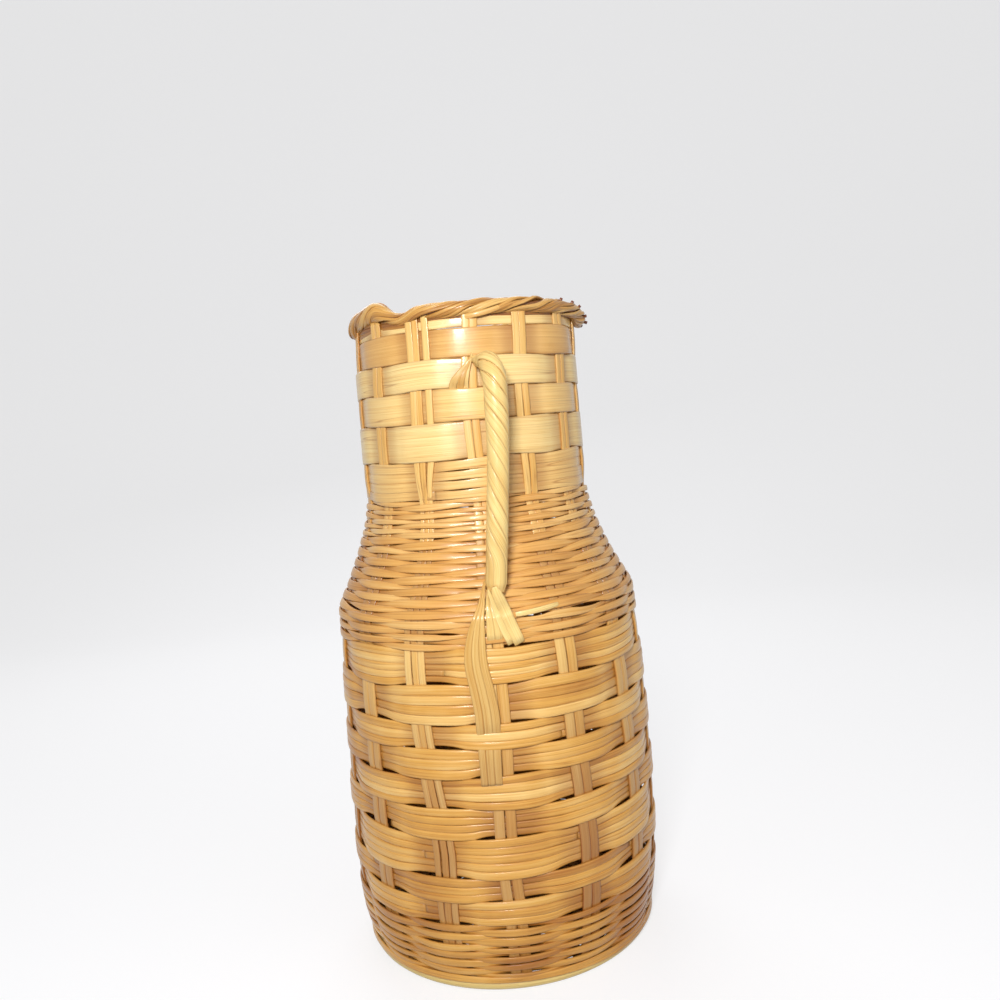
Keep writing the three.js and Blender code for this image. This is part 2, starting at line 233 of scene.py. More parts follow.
def ripple(kind, number, share, distance=1.0):
    """A smooth closed wander: cosines of 1 to waves turns, with seeded sizes and phases."""
    first_seed, amplitude, waves = WANDERS[kind]
    own = np.random.default_rng(first_seed + number)
    sizes = own.normal(size=waves) / np.sqrt(waves)
    phases = own.uniform(0, 2 * np.pi, waves)
    turns = np.arange(1, waves + 1)
    waving = np.cos(2 * np.pi * np.outer(np.ravel(share), turns) + phases)
    return distance * amplitude * (waving @ sizes).reshape(np.shape(share))


def smooth_path(points, count):
    """Points evenly spaced along a centripetal Catmull-Rom curve: between two points it is the cubic whose
    slopes are the weighted mean of the chords on both sides, with knots at the root of the chord length."""
    points = np.asarray(points, float)
    padded = np.concatenate([[2 * points[0] - points[1]], points, [2 * points[-1] - points[-2]]])
    knots = np.sqrt(np.linalg.norm(np.diff(padded, axis=0), axis=1))[:, None]
    chords = np.diff(padded, axis=0) / knots
    across_two = np.diff(padded, axis=0)[:-1] + np.diff(padded, axis=0)[1:]
    slopes = chords[:-1] - across_two / (knots[:-1] + knots[1:]) + chords[1:]
    steps = 40
    share = np.linspace(0, 1, steps, endpoint=False)[:, None, None]
    start, end = points[:-1], points[1:]
    leave, arrive = slopes[:-1] * knots[1:-1], slopes[1:] * knots[1:-1]
    curve = (
        start * (2 * share**3 - 3 * share**2 + 1)
        + leave * (share**3 - 2 * share**2 + share)
        + end * (3 * share**2 - 2 * share**3)
        + arrive * (share**3 - share**2)
    )
    curve = np.concatenate([curve.transpose(1, 0, 2).reshape(-1, points.shape[1]), points[-1:]])
    run = np.concatenate([[0.0], np.cumsum(np.linalg.norm(np.diff(curve, axis=0), axis=1))])
    even = np.linspace(0, run[-1], count)
    return np.stack([np.interp(even, run, column) for column in curve.T], -1)


# How dark a reed is along its edges, as painted shade in the creases between reeds, and on its cut ends.
EDGE_SHADE = 0.34
END_DARKNESS = 0.5


def reed(
    path, outward, width, thickness, closed=False, squareness=2.4, crown=0.0, corners=12, tone=0.5, darkening=0.0
):
    """One reed along a path, lying flat square to outward. Its section is a rounded flat shape: at angle t
    round it, a point lies width/2 |cos t|^(2/squareness) across and thickness/2 |sin t|^(2/squareness)
    outward, with the signs of the cosine and the sine, and the middle stands out further by
    crown (1 - the square of the share across). Its edges get painted shade for the creases between reeds,
    and darkening darkens a stretch more, as painted shade where it dives under another."""
    if closed:
        tangent = unit(np.roll(path, -1, axis=0) - np.roll(path, 1, axis=0))
    else:
        tangent = unit(np.gradient(path, axis=0))
    outward = unit(outward - tangent * np.sum(outward * tangent, axis=1, keepdims=True))
    across = np.cross(outward, tangent)
    count = len(path)
    turn = 2 * np.pi * (np.arange(corners) + 0.5) / corners
    side = np.sign(np.cos(turn)) * np.abs(np.cos(turn)) ** (2 / squareness)
    face = np.sign(np.sin(turn)) * np.abs(np.sin(turn)) ** (2 / squareness)
    sideways = np.broadcast_to(width, count)[:, None] / 2 * side
    outwards = np.broadcast_to(thickness, count)[:, None] / 2 * face
    outwards = outwards + np.broadcast_to(crown, count)[:, None] * (1 - side**2)
    points = path[:, None] + across[:, None] * sideways[..., None] + outward[:, None] * outwards[..., None]
    after = np.roll(path, -1, axis=0) if closed else path[1:]
    steps = np.linalg.norm(after - path[: len(after)], axis=1)
    shade = np.clip(EDGE_SHADE * np.abs(side) ** 10 + np.broadcast_to(darkening, count)[:, None], 0, 1)
    return {
        "points": points,
        "length": np.concatenate([[0.0], np.cumsum(steps)]),
        "across": sideways,
        "shade": shade,
        "tone": tone,
        "closed": closed,
    }


def skin_of(piece, first):
    """Quads round a reed from ring to ring, with the place along and across it of each corner for the grain,
    and the triangles of its two ends, each round a point in the middle of the end."""
    rings, corners = piece["points"].shape[:2]
    ring = np.arange(rings if piece["closed"] else rings - 1)[:, None]
    corner = np.arange(corners)[None, :]
    after, beside = (ring + 1) % rings, (corner + 1) % corners
    places = [
        (ring, corner, ring),
        (ring, beside, ring),
        (after, beside, ring + 1),
        (after, corner, ring + 1),
    ]
    quads = np.stack([first + r * corners + c for r, c, step in places], -1)
    along = np.stack([piece["length"][step] + 0.0 * c for r, c, step in places], -1)
    across = np.stack([piece["across"][r, c] for r, c, step in places], -1)
    grain = np.stack([along, across], -1)
    if piece["closed"]:
        return quads.reshape(-1, 4), grain.reshape(-1, 4, 2), np.zeros((0, 3), int)
    hub = first + rings * corners
    corner, beside = corner[0], beside[0]
    last = first + (rings - 1) * corners
    start = np.stack([np.full(corners, hub), first + beside, first + corner], -1)
    end = np.stack([np.full(corners, hub + 1), last + corner, last + beside], -1)
    return quads.reshape(-1, 4), grain.reshape(-1, 4, 2), np.concatenate([start, end])


def wicker(name, reeds, material, nodes):
    """Joins reeds into one mesh object in metres. Its UV map gives the place along and across each reed, and
    its attributes give each reed's tone and how dark it is painted, most of that painted shade."""
    vertices, shades, tones, quads, grains, ends = [], [], [], [], [], []
    first = 0
    for piece in reeds:
        faces, grain, fans = skin_of(piece, first)
        points = piece["points"].reshape(-1, 3)
        shade = piece["shade"].ravel()
        if not piece["closed"]:
            points = np.concatenate([points, piece["points"][[0, -1]].mean(axis=1)])
            shade = np.concatenate([shade, [END_DARKNESS, END_DARKNESS]])
        vertices.append(points)
        shades.append(shade)
        tones.append(np.full(len(points), piece["tone"]))
        quads.append(faces)
        grains.append(grain)
        ends.append(fans)
        first += len(points)
    vertices = np.concatenate(vertices) * MM
    quads = np.concatenate(quads)
    ends = np.concatenate(ends)
    corners = np.concatenate([quads.ravel(), ends.ravel()])
    starts = np.concatenate([4 * np.arange(len(quads)), 4 * len(quads) + 3 * np.arange(len(ends))])
    mesh = bpy.data.meshes.new(name)
    mesh.vertices.add(len(vertices))
    mesh.vertices.foreach_set("co", vertices.ravel())
    mesh.loops.add(len(corners))
    mesh.loops.foreach_set("vertex_index", corners)
    mesh.polygons.add(len(starts))
    mesh.polygons.foreach_set("loop_start", starts)
    mesh.polygons.foreach_set("use_smooth", np.ones(len(starts), bool))
    map_points = np.zeros((len(corners), 2))
    map_points[: 4 * len(quads)] = np.concatenate(grains).reshape(-1, 2) * MM
    mesh.uv_layers.new(name="grain").data.foreach_set("uv", map_points.ravel())
    mesh.attributes.new("shade", "FLOAT", "POINT").data.foreach_set("value", np.concatenate(shades))
    mesh.attributes.new("tone", "FLOAT", "POINT").data.foreach_set("value", np.concatenate(tones))
    mesh.update()
    mesh.validate()
    mesh.materials.append(material)
    made = bpy.data.objects.new(name, mesh)
    bpy.context.scene.collection.objects.link(made)
    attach(made, "root")
    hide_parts(*nodes)


# Materials. Reed and cane are peeled rattan core, split lengthwise: long pale fibres, a satin skin, and a
# thin varnish that has gone amber. Grain runs along each reed, by its UV map, in metres along and across.
# The brown that the shade attribute mixes in: painted shade in the creases between reeds and where they pass
# under others.
SHADE_BROWN = "#9A6433"
CRACK = "#A0602E"
PATCH_SIZE = 0.07


def linear(code):
    """An sRGB hex colour as linear red, green, blue and alpha."""
    channels = np.array([int(code[place:place + 2], 16) for place in (1, 3, 5)]) / 255
    curved = ((channels + 0.055) / 1.055) ** 2.4
    return (*np.where(channels <= 0.04045, channels / 12.92, curved), 1.0)


def set_stops(slots, stops):
    """Gives a colour ramp its stops: pairs of place and hex colour."""
    while len(slots) < len(stops):
        slots.new(1.0)
    for slot, (place, code) in zip(slots, stops):
        slot.position = place
        slot.color = linear(code)


def add(tree, kind, settings=None, **links):
    """Adds one node. Settings set its properties, sockets and colour stops, and links join a socket to
    another node's output. A socket's number follows an underscore, where several share a name."""
    node = tree.nodes.new(kind)
    for name, value in (settings or {}).items():
        if name == "stops":
            set_stops(node.color_ramp.elements, value)
        elif isinstance(name, int) or name in node.inputs:
            node.inputs[name].default_value = value
        else:
            setattr(node, name, value)
    for name, source in links.items():
        socket = int(name[1:]) if name[0] == "_" and name[1:].isdigit() else name.replace("_", " ")
        tree.links.new(source, node.inputs[socket])
    return node


def reed_material(name, pale, honey, amber, gloss=0.38, coat=0.3, blotch=1.0, split=0.3):
    """Varnished rattan reed. Fibres are 0.35 mm wide and 60 mm long, streaks 1.6 mm by 120 mm. Some reeds are
    paler and some more amber, the varnish is uneven every 70 mm or so, painted shade darkens the reeds' edges
    and where they pass under others, and brown hair cracks run with the grain some 5 mm apart."""
    material = bpy.data.materials.new(name)
    material.use_nodes = True
    tree = material.node_tree
    tree.nodes.clear()
    grain = add(tree, "ShaderNodeUVMap", {"uv_map": "grain"}).outputs["UV"]
    tone = add(tree, "ShaderNodeAttribute", {"attribute_name": "tone"}).outputs["Fac"]
    shade = add(tree, "ShaderNodeAttribute", {"attribute_name": "shade"}).outputs["Fac"]
    place = add(tree, "ShaderNodeTexCoord").outputs["Object"]
    multiply = {"data_type": "RGBA", "blend_type": "MULTIPLY"}
    scale_and_add = {"operation": "MULTIPLY_ADD"}

    # A reed's tone also moves it to a grain of its own.
    seed = add(tree, "ShaderNodeMath", {"operation": "MULTIPLY", 1: 80.0}, _0=tone).outputs[0]

    def along_grain(long, wide, detail, rough):
        """Cloudy bands with the grain, so many millimetres long and wide."""
        scale = (1 / (long * MM), 1 / (wide * MM), 1.0)
        stretched = add(tree, "ShaderNodeMapping", {"Scale": scale}, Vector=grain)
        settings = {"noise_dimensions": "4D", "Scale": 1.0, "Detail": detail, "Roughness": rough}
        return add(tree, "ShaderNodeTexNoise", settings, Vector=stretched.outputs[0], W=seed).outputs["Fac"]

    fibres = along_grain(60.0, 0.35, 3.0, 0.6)
    streaks = along_grain(120.0, 1.6, 2.0, 0.5)
    splits = along_grain(350.0, 5.0, 0.0, 0.5)
    cloudy = {"Scale": 1 / PATCH_SIZE, "Detail": 3.0, "Roughness": 0.55}
    patches = add(tree, "ShaderNodeTexNoise", cloudy, Vector=place).outputs["Fac"]

    # How amber it is adds up from the patches of varnish, the reed's tone and the streaks.
    age = add(tree, "ShaderNodeMath", scale_and_add | {1: 0.45 * blotch, 2: -0.22 * blotch}, _0=patches)
    age = add(tree, "ShaderNodeMath", scale_and_add | {1: 0.55}, _0=tone, _2=age.outputs[0])
    age = add(tree, "ShaderNodeMath", scale_and_add | {1: 0.5}, _0=streaks, _2=age.outputs[0])
    ages = {"stops": [(0.18, pale), (0.5, honey), (0.85, amber)]}
    aged = add(tree, "ShaderNodeValToRGB", ages, Fac=age.outputs[0]).outputs[0]

    # Fibres, cracks and the painted shade each darken it.
    pores = {"stops": [(0.3, "#E4C9A0"), (0.5, "#FDF9F2"), (0.7, "#FFFFFF")]}
    darken = add(tree, "ShaderNodeValToRGB", pores, Fac=fibres).outputs[0]
    colour = add(tree, "ShaderNodeMix", multiply | {0: 1.0}, _6=aged, _7=darken).outputs[2]
    hairlines = {"stops": [(0.491, "#FFFFFF"), (0.5, CRACK), (0.509, "#FFFFFF")]}
    cracks = add(tree, "ShaderNodeValToRGB", hairlines, Fac=splits).outputs[0]
    colour = add(tree, "ShaderNodeMix", multiply | {0: split}, _6=colour, _7=cracks).outputs[2]
    colour = add(tree, "ShaderNodeMix", multiply | {7: linear(SHADE_BROWN)}, _0=shade, _6=colour).outputs[2]

    # Streaks and fibres stand up by up to 0.3 mm, and the gloss varies a little along the fibres.
    relief = add(tree, "ShaderNodeMath", scale_and_add | {1: 0.5}, _0=streaks, _2=fibres)
    bump = add(tree, "ShaderNodeBump", {"Strength": 0.35, "Distance": 0.0003}, Height=relief.outputs[0])
    swing = 0.22
    gloss_here = add(tree, "ShaderNodeMath", scale_and_add | {1: swing, 2: gloss - swing / 2}, _0=fibres)
    skin = add(
        tree,
        "ShaderNodeBsdfPrincipled",
        {"Specular IOR Level": 0.35, "Coat Weight": coat, "Coat Roughness": 0.15, "Coat IOR": 1.45},
        Base_Color=colour,
        Roughness=gloss_here.outputs[0],
        Normal=bump.outputs[0],
    )
    add(tree, "ShaderNodeOutputMaterial", Surface=skin.outputs[0])
    return material


# The body's half-round reeds are a warm honey with amber stretches, and the fine ones a little duller. The
# neck's shaved splints are paler and glossier, with more cracks. The stakes are plain flat reed.
body_reed = reed_material("varnished_rattan_reed", "#F4CE85", "#DFAA54", "#B27630", blotch=2.0)
fine_reed = reed_material("fine_rattan_reed", "#F4CF8B", "#DFAA5D", "#B67D39", blotch=1.3)
neck_splint = reed_material(
    "flat_rattan_splint", "#F8DE9D", "#F0C981", "#D39E56", gloss=0.32, coat=0.4, blotch=0.8, split=0.5
)
stake_reed = reed_material("rattan_stake", "#F4D38D", "#E3B363", "#BA7C35", blotch=0.8)

# The rim is handled most and has gone browner. The handle's flat reed is the palest and smoothest. The foot's
# thick cane is straw yellow, and the floor's reeds were never varnished, so they are dull.
rim_reed = reed_material("twisted_rim_rattan", "#E8C27A", "#CE9A4E", "#96632E")
handle_reed = reed_material(
    "bound_handle_rattan", "#FAE4A1", "#F2D58D", "#D5A75A", gloss=0.34, coat=0.35, blotch=0.6, split=0.15
)
foot_cane = reed_material("peeled_foot_cane", "#EAD795", "#D9BC72", "#B28C45", blotch=0.6)
floor_reed = reed_material("raw_floor_rattan", "#D9B77A", "#BC8F4E", "#8F642F", gloss=0.6, coat=0.0)


# The weave. All round, a reed runs outside one stake and inside the next.
STEPS_PER_STAKE = 18
ROUND = np.linspace(0, 2 * np.pi, STAKES * STEPS_PER_STAKE, endpoint=False) + FIRST_STAKE
ROUND_SHARE = ROUND / (2 * np.pi)

# How suddenly a course draws together inside a stake, and the fewest points of a reed that is laid.
DRAW_SHARPNESS = 1.3
FEWEST_POINTS = 5


def over_under(over_even, firmness=1.6):
    """+1 where a course passes outside a stake and -1 where it passes inside: the hyperbolic tangent of a
    cosine, scaled to 1. A firm reed holds both longer."""
    wave = np.cos(STAKES / 2 * (ROUND - FIRST_STAKE)) * (1 if over_even else -1)
    return np.tanh(firmness * wave) / np.tanh(firmness)


def course_edge(edge, over_even_above, make):
    """The line between two courses: it wanders a little, and gives way to the course that lies outside."""
    giving = make["breath"] * over_under(over_even_above, make["firmness"])
    return EDGES[edge] + ripple("course edge", edge, ROUND_SHARE, make["wander"]) - giving


def lay(ring, outward, width, darkening, make, tone, spread):
    """A reed laid once round in two lengths. Their ends meet inside a stake, mostly where it hides them."""
    hidden = np.flatnonzero(darkening >= make["tuck"] * darkening.max())
    joints = np.sort(rng.choice(hidden, 2, replace=False))
    lengths = []
    for first, last in ((joints[0], joints[1]), (joints[1], joints[0] + len(ring))):
        span = np.arange(first, last + 1) % len(ring)
        own_tone = np.clip(rng.normal(tone, spread), 0, 1)
        if len(span) >= FEWEST_POINTS:
            lengths.append(
                reed(
                    ring[span],
                    outward[span],
                    width[span],
                    make["thickness"],
                    squareness=make["squareness"],
                    tone=own_tone,
                    darkening=darkening[span],
                )
            )
    return lengths


# Where two courses have drawn apart, so that a dark slit shows between them: the height, the angle in degrees
# of its middle and half its length, and how far it opens in millimetres.
SLITS = [
    (261.4, 16.5, 6.0, 2.9),
    (261.4, 39.0, 9.0, 2.6),
    (268.0, -62.0, 9.0, 2.0),
    (252.0, -14.0, 5.0, 1.5),
]


def slit(edge):
    """How far the courses at an edge draw apart: each slit opens by 1 less the square of the share from its
    middle to its end."""
    opening = np.zeros(len(ROUND))
    for height, middle, reach, size in SLITS:
        if edge == np.argmin(np.abs(EDGES - height)):
            away = np.angle(np.exp(1j * (ROUND - np.radians(middle))))
            opening += size * np.clip(1 - (away / np.radians(reach)) ** 2, 0, 1)
    return opening


def woven_course(course, over_even, reeds, make, tone, spread=0.13):
    """The reeds of one course. They share its height with up to 12% more or less for each. Inside a stake the
    course draws together by the lens height, here more and there less, which opens dark slits beside it."""
    wave = over_under(over_even, make["firmness"])
    inside = np.clip(-wave, 0, 1)
    low = course_edge(course, over_even, make)
    high = course_edge(course + 1, not over_even, make)
    lens = make["lens"] * (1 + ripple("course draw", course, ROUND_SHARE))
    drawn = np.clip(lens, 0, None) * inside**DRAW_SHARPNESS
    low = low + drawn + slit(course) / 2
    high = high - drawn - slit(course + 1) / 2
    sizes = rng.uniform(0.88, 1.12, reeds)
    cuts = np.concatenate([[0.0], np.cumsum(sizes)]) / sizes.sum()
    # Painted shade where the course passes inside a stake.
    darkening = make["darkening"] * inside**2
    made = []
    for place in range(reeds):
        number = 20 * course + place
        middle = (cuts[place] + cuts[place + 1]) / 2
        height = low + middle * (high - low) + ripple("course reed", number, ROUND_SHARE, make["slip"])
        depth = make["base"] + make["reach"] * wave + ripple("course depth", number, ROUND_SHARE)
        ring, outward = on_wall(ROUND, height, depth)
        width = (cuts[place + 1] - cuts[place]) * (high - low) / np.linalg.norm(outward[:, :2], axis=1)
        made += lay(ring, outward, width * make["fill"], darkening, make, tone, spread)
    return made


# How each kind of reed is laid. Base is how far its middle lies outside the middle of the stakes, and reach
# how far it swings out and in, which it holds longer by its firmness. Its ends are tucked in inside a stake,
# where it is at least as dark as the share called tuck of its darkest. Wander, breath and slip move its edges
# up and down, lens draws a course together inside a stake, fill is its share of its place, and darkening is
# how dark it is painted inside a stake, as painted shade where the stake covers it. The higher the
# squareness, the flatter its section. Each reed's outside lies at about the wall's outside radius where it
# passes outside a stake.
THIN = {
    "thickness": 1.9, "squareness": 3.4, "base": 0.65, "reach": 1.6, "firmness": 0.6, "tuck": 0.9,
    "wander": 0.35, "breath": 0.55, "lens": 0.0, "slip": 0.4, "fill": 1.14, "darkening": 0.3,
}
FOOT = dict(THIN, breath=0.45, fill=1.24, lens=0.22)
THROAT = dict(THIN, breath=0.3, fill=1.06)
THICK = {
    "thickness": 2.2, "squareness": 3.0, "base": 0.75, "reach": 1.5, "firmness": 1.6, "tuck": 0.6,
    "wander": 0.9, "breath": 0.35, "lens": 1.1, "slip": 0.2, "fill": 1.04, "darkening": 0.5,
}
FLAT = {
    "thickness": 1.1, "squareness": 6.0, "base": 1.8, "reach": 1.0, "firmness": 1.6, "tuck": 0.9,
    "wander": 0.7, "breath": 0.1, "lens": 0.1, "slip": 0.0, "fill": 1.0, "darkening": 0.45,
}
STRIP = dict(FLAT, base=0.45, reach=0.0, wander=0.3, lens=0.0, fill=0.88)

# The lowest neck row is split into strips, which fill less of their place left of the handle, so that they
# stand apart: by the gap in the middle, at an angle in radians, and by less within a reach on both sides.
SPLIT_FILL = 1.03
SPLIT_GAP = 0.16
SPLIT_MIDDLE = -0.12
SPLIT_REACH = 0.26
APART = smooth(1 - np.abs(np.exp(1j * ROUND) - np.exp(1j * SPLIT_MIDDLE)) / SPLIT_REACH)
SPLIT = dict(FLAT, fill=SPLIT_FILL - SPLIT_GAP * APART)

# The hoop that the basket stands on, and the reeds wound round its outside: the height of the upper one, the
# steps down and in width to the lower one, and how much higher that one lies in front.
HOOP_THICKNESS = 7.0
HOOP_RADIUS = (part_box("foot_hoop")[1][0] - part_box("foot_hoop")[0][0]) / 2 / MM - HOOP_THICKNESS / 2
SKIRT_REEDS = 2
SKIRT_HEIGHT = 8.9
SKIRT_STEP = 3.2
SKIRT_LIFT = 2.3
SKIRT_FRONT = -0.25
SKIRT_OFF_HOOP = 0.7
SKIRT_WIDTH = 3.9
SKIRT_NARROWING = 0.6
SKIRT_THICKNESS = 1.7


def skirt_reed(place):
    """A reed wound round the outside of the foot's hoop. It hides most of the hoop, least at the front, where
    the lower one rises by the cube of the cosine."""
    front = np.clip(np.cos(ROUND - SKIRT_FRONT), 0, 1) ** 3
    height = SKIRT_HEIGHT - SKIRT_STEP * place + SKIRT_LIFT * place * front
    height = height + ripple("skirt", place, ROUND_SHARE)
    path = radial(ROUND) * (HOOP_RADIUS + HOOP_THICKNESS / 2 + SKIRT_OFF_HOOP) + UP * height[:, None]
    width = SKIRT_WIDTH - SKIRT_NARROWING * place
    return reed(path, radial(ROUND), width, SKIRT_THICKNESS, closed=True, tone=0.65)


def weave_band(name, nodes, start, courses, over_even, make, material, tone):
    """A band of courses of one thin reed, shared out in order over its rows' nodes, one piece for each."""
    for row in range(nodes):
        made = [skirt_reed(place) for place in range(SKIRT_REEDS)] if start + row == 0 else []
        for course in range(row * courses // nodes, (row + 1) * courses // nodes):
            made += woven_course(start + course, (course % 2 == 0) == over_even, 1, make, tone)
        wicker(f"{name}_reeds_{row + 1}", made, material, [f"{name}_{row + 1}"])


weave_band("foot_row", FOOT_ROWS, 0, len(FOOT_COURSES), True, FOOT, body_reed, FOOT_TONE)
weave_band("shoulder_row", SHOULDER_ROWS, SHOULDER_START, len(SHOULDER_COURSES), False, THIN, fine_reed,
           SHOULDER_TONE)
weave_band("throat_row", THROAT_ROWS, THROAT_START, len(THROAT_COURSES), False, THROAT, fine_reed,
           THROAT_TONE)
for row, (reeds, tone) in enumerate(zip(BODY_REEDS, BODY_TONES)):
    laid = woven_course(BODY_START + row, row % 2 == 0, reeds, THICK, tone, spread=0.17)
    wicker(f"body_row_reeds_{row + 1}", laid, body_reed, [f"body_row_{row + 1}"])
for row, (reeds, tone) in enumerate(zip(NECK_REEDS, NECK_TONES)):
    make = FLAT if reeds == 1 else SPLIT
    laid = woven_course(NECK_START + row, row % 2 == 0, reeds, make, tone, spread=0.05)
    wicker(f"neck_row_splints_{row + 1}", laid, neck_splint, [f"neck_row_{row + 1}"])
top_strip = woven_course(NECK_START + len(NECK_REEDS), False, 1, STRIP, TOP_STRIP_TONE, spread=0.03)
wicker("neck_row_splints_6", top_strip, neck_splint, ["neck_row_6"])


# The stakes. They give way to the courses of the body and the neck by so much, and their bends are rounded
# off over so many points. From the bottom of the neck up they change over a blend.
STAKE_BOTTOM = WALL_BOTTOM - 0.5
STAKE_TOP = ROPE_HEIGHT - 2
BODY_GIVE = 0.6
NECK_GIVE = 0.45
ROUNDED_POINTS = 7
NECK_BLEND = 40

# Their reeds: the thickness, which is less in the neck, the gap between two, which closes there, and the room
# for the wide stake's third reed and its gap, in the neck.
STAKE_THICKNESS = 1.9
NECK_THINNER = 0.4
STAKE_GAP = 0.1
NECK_CLOSING = 0.2
THIRD_REED_ROOM = 4.5
THIRD_REED_GAP = 2.2

# How far the stakes lean to the side at these heights, for the two in front and for the others.
LEAN_HEIGHTS = [60, 100, 150, 205, 247, 320]
STAKE_LEANS = {WIDE_STAKE: [3.5, 3.5, -2.3, -6.0, -7.0, 0.0], 0: [-1.0, -3.0, -3.3, -2.0, -1.0, 0.0]}
PLAIN_LEAN = [1.5, 2.0, 0.5, -1.0, -3.0, 0.0]

# How brown they get from a height down over a stretch, and the painted shade where thin courses cover them in
# the shoulder. The tones of the reeds in front are set one by one.
STAKE_DARKENING = {1: 0.68, WIDE_STAKE: 0.55}
PLAIN_DARKENING = 0.48
DARKENING_TOP = 265
DARKENING_STRETCH = 170
COVERED_SHADE = 0.5
COVERED_BLEND = 8
FRONT_TONES = {
    12: (0.25, 0.35),
    WIDE_STAKE: (0.15, 0.4, 0.08),
    0: (0.1, 0.4),
    1: (0.15, 0.4),
    2: (0.3, 0.4),
}


def stake_width(height):
    """The width of a stake, which changes from the neck's to the shoulder's as the wall's radius does."""
    share = np.clip((wall_radius(height) - NECK_RADIUS) / (SHOULDER_RADIUS - NECK_RADIUS), 0, 1)
    return NECK_STAKE_WIDTH + (BODY_STAKE_WIDTH - NECK_STAKE_WIDTH) * share


def stake_depth(stake, height):
    """How far out a stake lies. It gives way to the wide courses: in where they pass outside it, and out
    where they pass inside. Between the middles of the courses it runs straight, and its bends are rounded."""
    depths = np.zeros(len(HEIGHTS))
    for start, count, make, give in (
        (BODY_START, len(BODY_COURSES), THICK, BODY_GIVE),
        (NECK_START, len(NECK_REEDS), FLAT, NECK_GIVE),
    ):
        outside = np.where((np.arange(count) + stake) % 2 == 0, 1, -1)
        depths[start:start + count] = make["base"] - give * outside
    depths[-1] = FLAT["base"]
    bent = np.interp(height, (EDGES[1:] + EDGES[:-1]) / 2, depths)
    padded = np.pad(bent, ROUNDED_POINTS // 2, "edge")
    return np.convolve(padded, np.ones(ROUNDED_POINTS) / ROUNDED_POINTS, "valid")


def stake_reeds(stake):
    """Flat reeds side by side from the floor up into the rim, which wander together and a little apart. One
    stake has three, and in the neck its third stands a little apart. Low down they are browner, and painted
    shade darkens them where the shoulder's thin courses cover them."""
    height = np.linspace(STAKE_BOTTOM, STAKE_TOP, STAKE_POINTS)
    share = np.linspace(0, 0.5, STAKE_POINTS)
    count = 3 if stake == WIDE_STAKE else 2
    neck = smooth((height - NECK_HEIGHT) / NECK_BLEND)
    total = stake_width(height) + (THIRD_REED_ROOM * neck if stake == WIDE_STAKE else 0.0)
    together = ripple("stake", stake, share)
    together = together + np.interp(height, LEAN_HEIGHTS, STAKE_LEANS.get(stake, PLAIN_LEAN))
    above = smooth((height - EDGES[SHOULDER_START]) / COVERED_BLEND)
    below = smooth((EDGES[THROAT_START] - height) / COVERED_BLEND)
    darkening = STAKE_DARKENING.get(stake, PLAIN_DARKENING) * smooth((DARKENING_TOP - height) / DARKENING_STRETCH)
    # Painted shade where the shoulder's thin courses cover the stake.
    darkening = darkening + COVERED_SHADE * (above * below)
    made = []
    for place in range(count):
        side = place - (count - 1) / 2
        number = 10 * stake + place
        across = side * total / count + together + ripple("stake reed", number, share)
        if place == 2:
            across = across + THIRD_REED_GAP * neck
        width = total / count - STAKE_GAP + NECK_CLOSING * neck + ripple("stake width", number, share)
        angle = FIRST_STAKE + stake * 2 * np.pi / STAKES + across / (wall_radius(height) - WALL_DEPTH)
        depth = stake_depth(stake, height) + ripple("stake depth", number, share)
        path, outward = on_wall(angle, height, depth)
        thickness = STAKE_THICKNESS - NECK_THINNER * neck
        tone = FRONT_TONES[stake][place] if stake in FRONT_TONES else np.clip(rng.normal(0.45, 0.16), 0, 1)
        made.append(reed(path, outward, width, thickness, squareness=4.0, tone=tone, darkening=darkening))
    return made


for stake in range(STAKES):
    node = f"stake_{stake + 1:02d}"
    wicker(f"stake_reeds_{stake + 1}", stake_reeds(stake), stake_reed, [node])


# The rim: three loose strands of four thin reeds, twisted round each other like a rope and rising to the
# right, with dark gaps between them. The reeds of a strand lie side by side by a spread in radians.
REED_SPREAD = 0.46
ROPE_REED_WIDTH = 2.6
ROPE_REED_SWELL = 1.2
ROPE_REED_THICKNESS = 1.9
ROPE_CORE_ROOM = 2.4

# The reeds inside the wall's top, which close the gap below the rim: for each its height, the angle in
# degrees where it ends, and its tone. They start behind the lip. Their dark tones and a little darkening
# paint the shade below the rim.
FILLING_START = -104
FILLING_DEPTH = 0.2
FILLING_WIDTH = 3.3
FILLING_THICKNESS = 1.6
FILLINGS = [(463.6, -26, 0.7), (466.6, 105, 1.0), (469.4, 105, 0.8)]

# The cut ends that stand out of the rim at the right: the angle in degrees, and how far out and up. Each also
# points a little to the side.
STUB_WIDTH = 3.0
STUB_THICKNESS = 2.3
STUB_ASIDE = 1.5
STUBS = [(55, 2.5, 5.8), (64, 4.0, 5.4), (72, 5.5, 3.6), (81, 6.8, 0.6), (87, 6.8, -2.4), (95, 6.0, -4.6)]


def rope_line(angle):
    """The middle of the rim at angles round it, and the radius of its twist there."""
    outward_shift, rise, twist_radius = rim_form(angle)
    line = radial(angle) * (ROPE_RADIUS + outward_shift)[:, None] + UP * (ROPE_HEIGHT + rise)[:, None]
    line[:, 0] += MOUTH_SWAY
    return line + UP * ripple("rim", 0, angle / (2 * np.pi))[:, None], twist_radius


